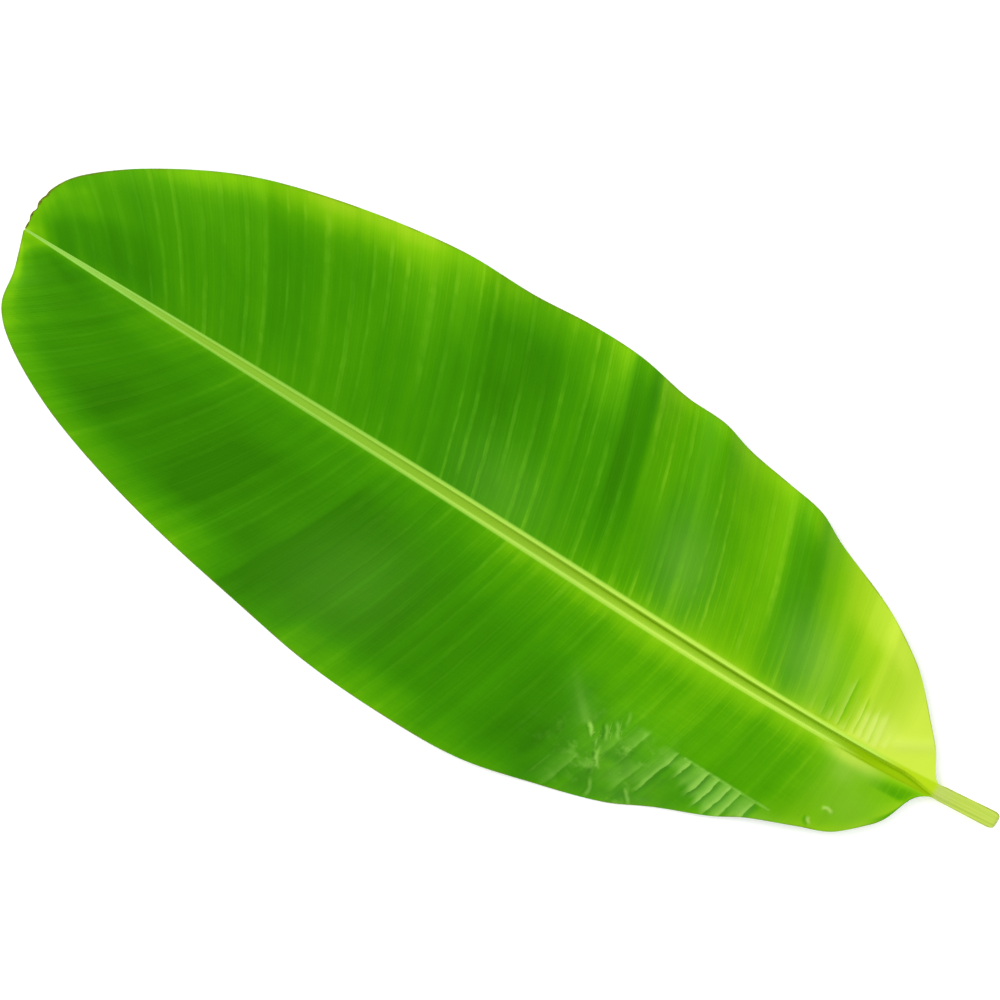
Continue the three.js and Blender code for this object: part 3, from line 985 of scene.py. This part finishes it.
# Underneath, the blade is paler and duller, and the keel is nearly the stalk's colour.
under_blade = mixed(0.55, ramp.outputs[0], linear(150, 186, 112))
under_blade = mixed(scaled(main_line, 0.5), under_blade, linear(186, 210, 134))
under_blade = mixed(scaled(second_line, 0.25), under_blade, linear(176, 204, 128))
keel_colour = mixed(smooth(streaks, 0.35, 0.65), linear(150, 184, 84), linear(186, 210, 112))
under_colour = mixed(on_rib, under_blade, keel_colour)
under_colour = mixed(on_stalk, under_colour, stalk_colour)
leaf_colour = mixed(under_side, upper_colour, under_colour)

# The cut face: pale, moist pith with dots of cut fibres.
fibres = smooth(noise(object_place, 900.0, 2.0), 0.5, 0.66)
pith = mixed(fibres, linear(196, 212, 120), linear(140, 160, 70))
leaf_colour = mixed(read("cut"), leaf_colour, pith)

roughness = total(
    0.36,
    scaled(stripe, 0.16),
    scaled(main_line, 0.05),
    scaled(cells, 0.08),
    scaled(under_side, 0.22),
    scaled(wax_and_sheen, -0.04),
    scaled(on_rib, 0.05),
)
relief = product(smooth(station, 30.0, 140.0), smooth(station, 1000.0, 740.0))
height = total(
    product(facet_height, crumple, 1.6),
    product(cross_ripple, in_green, wobble, 0.03),
    scaled(crease_shade, -0.7),
    scaled(crease_pale, 0.5),
    product(relief, main_line, 0.22),
    product(relief, second_line, 0.10),
    product(relief, fine_line, 0.035),
    product(relief, stripe, 0.5),
    scaled(cells, 0.05),
)
rib_height = total(scaled(grain, 0.3), scaled(streaks, 0.2))
surface_height = mixed(on_rib, height, rib_height)
bump = tree.nodes.new("ShaderNodeBump")
bump.inputs["Strength"].default_value = 0.6
bump.inputs["Distance"].default_value = 0.001
tree.links.new(surface_height, bump.inputs["Height"])

shader = tree.nodes.new("ShaderNodeBsdfPrincipled")
tree.links.new(leaf_colour, shader.inputs["Base Color"])
tree.links.new(roughness, shader.inputs["Roughness"])
tree.links.new(bump.outputs[0], shader.inputs["Normal"])
shader.inputs["Specular IOR Level"].default_value = 0.35
shader.inputs["Specular Tint"].default_value = (0.5, 1.0, 0.04, 1.0)
surface = tree.nodes.new("ShaderNodeOutputMaterial")
tree.links.new(shader.outputs[0], surface.inputs["Surface"])
mesh.materials.append(material)

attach(leaf, "root")
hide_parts("banana_leaf")

# ---- Floor: a plain white table ----
TABLE_HALF = 4
TABLE_TOP = -0.0003
floor_corners = [
    (-TABLE_HALF, -TABLE_HALF, TABLE_TOP), (TABLE_HALF, -TABLE_HALF, TABLE_TOP),
    (TABLE_HALF, TABLE_HALF, TABLE_TOP), (-TABLE_HALF, TABLE_HALF, TABLE_TOP),
]
floor_mesh = bpy.data.meshes.new("floor")
floor_mesh.from_pydata(floor_corners, [], [(0, 1, 2, 3)])
floor = bpy.data.objects.new("floor", floor_mesh)
bpy.context.scene.collection.objects.link(floor)
white = bpy.data.materials.new("table")
white.use_nodes = True
white_shader = white.node_tree.nodes["Principled BSDF"]
white_shader.inputs["Base Color"].default_value = (0.93, 0.93, 0.93, 1)
white_shader.inputs["Roughness"].default_value = 0.9
white_shader.inputs["Specular IOR Level"].default_value = 0.1
white_shader.inputs["Emission Color"].default_value = (1, 1, 1, 1)
white_shader.inputs["Emission Strength"].default_value = 0.25
floor_mesh.materials.append(white)

# ---- Light: soft from all round, with a broad lamp on the tip's side ----
world = bpy.data.worlds.new("studio")
world.use_nodes = True
sky = world.node_tree.nodes["Background"]
sky.inputs["Color"].default_value = (1, 1, 1, 1)
sky.inputs["Strength"].default_value = 1.0
bpy.context.scene.world = world
sun_data = bpy.data.lights.new("lamp", "SUN")
sun_data.energy = 1.46
sun_data.angle = math.radians(36)
sun = bpy.data.objects.new("lamp", sun_data)
sun.rotation_euler = (math.radians(8), math.radians(48), 0)
bpy.context.scene.collection.objects.link(sun)
bpy.context.scene.view_settings.view_transform = "Standard"
